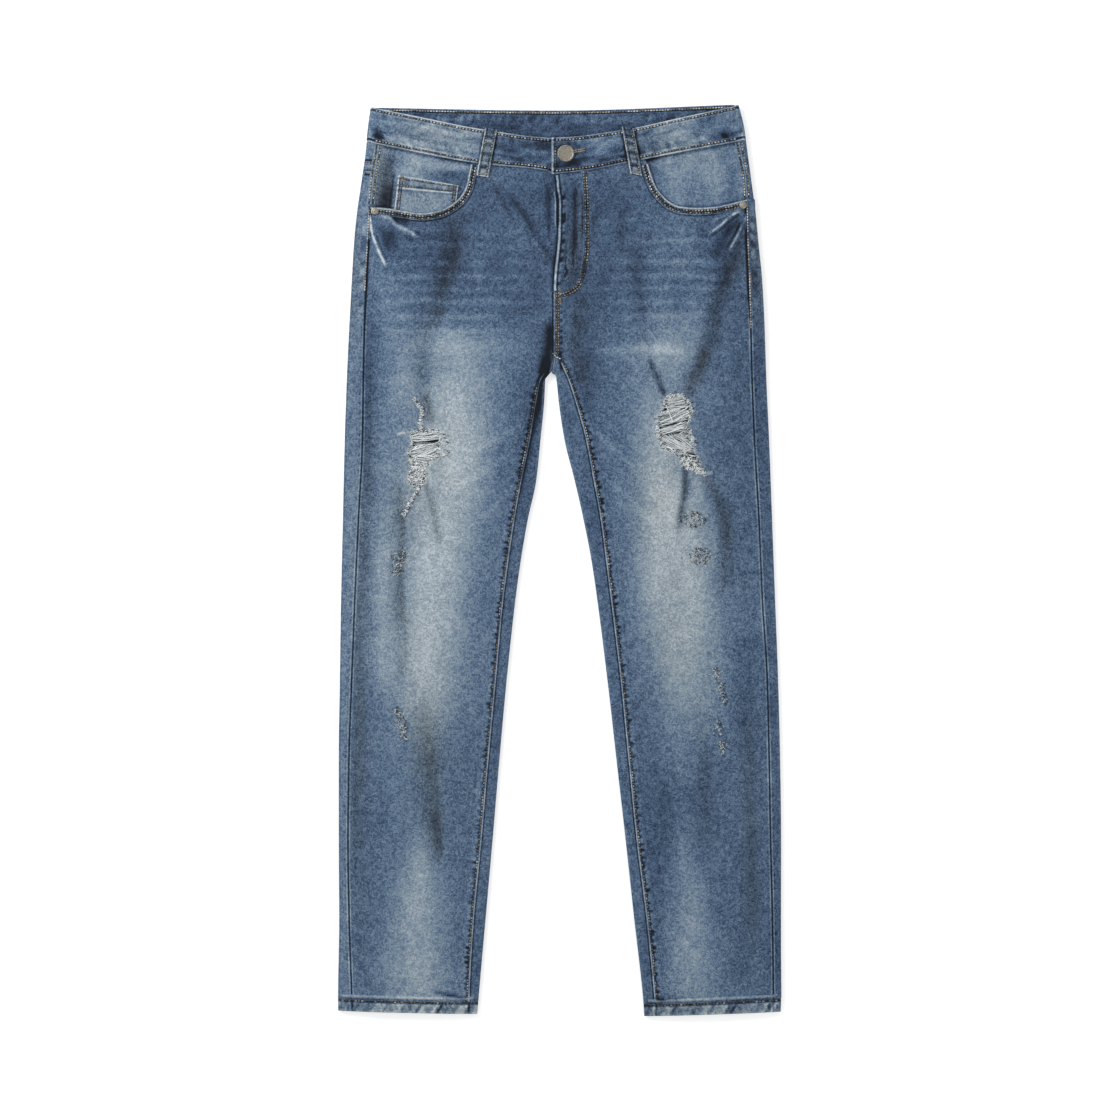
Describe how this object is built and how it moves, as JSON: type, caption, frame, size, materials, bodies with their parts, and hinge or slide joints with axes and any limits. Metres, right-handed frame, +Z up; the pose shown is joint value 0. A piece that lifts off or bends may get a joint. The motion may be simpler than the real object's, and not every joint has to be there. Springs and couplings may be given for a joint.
{
  "type": "ripped jeans, laid flat",
  "caption": "Slim faded blue jeans laid flat, front up: five-pocket cut with a buttoned zip fly, torn thighs with frayed threads, worn fades and turned hems.",
  "frame": {"origin": "centre of the outline, on the surface the jeans lie on", "axes": "+Z up out of the front, +Y towards the waist, -X the wearer's right side"},
  "size_m": [0.4867, 1.0003, 0.0162],
  "materials": {
    "denim_front": "mid indigo twill denim, stonewashed, with pale fades on the thighs, knees and shins",
    "denim_back": "mid indigo twill denim, less faded",
    "denim_band": "folded denim with worn edges and tan topstitching",
    "denim_facing": "pale worn denim",
    "denim_hem": "turned denim with roped wear",
    "zip_tape": "dark woven tape",
    "button_metal": "plain dull pewter-grey metal",
    "rivet_metal": "plain dull grey metal"
  },
  "bodies": {
    "root": {"front_panel_right": "denim_front", "front_panel_left": "denim_front", "back_panel_right": "denim_back", "back_panel_left": "denim_back", "back_yoke_right": "denim_back", "back_yoke_left": "denim_back", "back_pocket_right": "denim_back", "back_pocket_left": "denim_back", "pocket_facing_right": "denim_facing", "pocket_facing_left": "denim_facing", "coin_pocket": "denim_facing", "waistband": "denim_band", "belt_loop_front_right": "denim_band", "belt_loop_front_left": "denim_band", "belt_loop_side_right": "denim_band", "belt_loop_side_left": "denim_band", "belt_loop_back": "denim_band", "fly_underlap": "denim_back", "fly_zip": "zip_tape", "hem_right": "denim_hem", "hem_left": "denim_hem", "button": "button_metal", "rivet_right": "rivet_metal", "rivet_left": "rivet_metal"}
  },
  "joints": []
}
